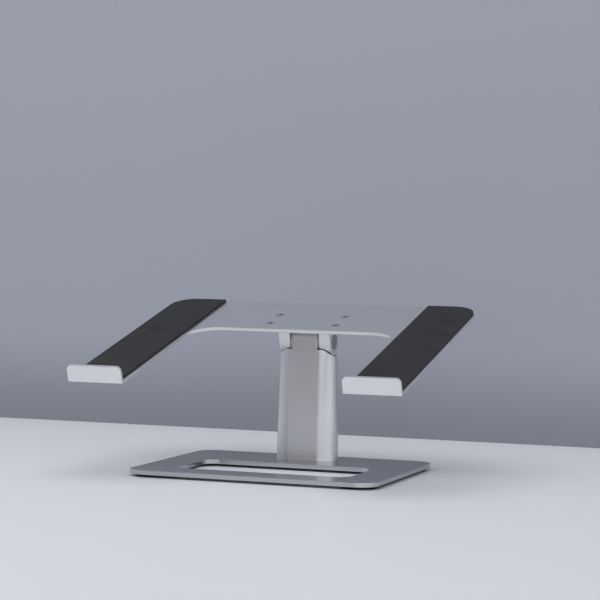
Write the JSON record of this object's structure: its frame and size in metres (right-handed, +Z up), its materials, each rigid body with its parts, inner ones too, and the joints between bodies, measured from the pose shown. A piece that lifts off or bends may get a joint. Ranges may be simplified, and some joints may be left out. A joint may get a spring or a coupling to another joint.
{
  "type": "laptop stand",
  "caption": "Free-standing laptop stand with a slotted base plate on rubber pads, a tapered column and a tilting open tray whose padded arms end in upturned lips.",
  "frame": {"origin": "on the desk, under the middle of the base plate", "axes": "+X to the right of someone facing the tray's lips, +Y to the back, +Z up"},
  "size_m": [0.26, 0.214, 0.1291],
  "materials": {
    "satin_aluminium": "fine bead-blasted and anodised in natural silver",
    "black_rubber": "matt silicone rubber",
    "plated_steel": "zinc plated",
    "grey_plastic": "fine moulded grain",
    "bush_polymer": "unfilled bearing polymer"
  },
  "bodies": {
    "foot_and_column": {"base_plate": "satin_aluminium", "foot_front_left": "black_rubber", "foot_front_right": "black_rubber", "foot_rear_left": "black_rubber", "foot_rear_right": "black_rubber", "column": "satin_aluminium", "column_screws": "plated_steel", "bush_left": "bush_polymer", "bush_right": "bush_polymer"},
    "tilting_tray": {"tray": "satin_aluminium", "hinge_bracket": "satin_aluminium", "bracket_screws": "plated_steel", "hinge_bolt": "plated_steel", "disc_springs": "plated_steel", "hinge_nut": "plated_steel", "friction_washer_left": "bush_polymer", "friction_washer_right": "bush_polymer", "hinge_cap_left": "grey_plastic", "hinge_cap_right": "grey_plastic", "arm_pad_left": "black_rubber", "arm_pad_right": "black_rubber", "lip_pad_left": "black_rubber", "lip_pad_right": "black_rubber"}
  },
  "joints": [
    {"name": "tray_tilt", "type": "hinge", "parent": "foot_and_column", "child": "tilting_tray", "pos_m": [0, 0.056, 0.0995], "axis": [1, 0, 0], "range_deg": [-14, 16]}
  ]
}
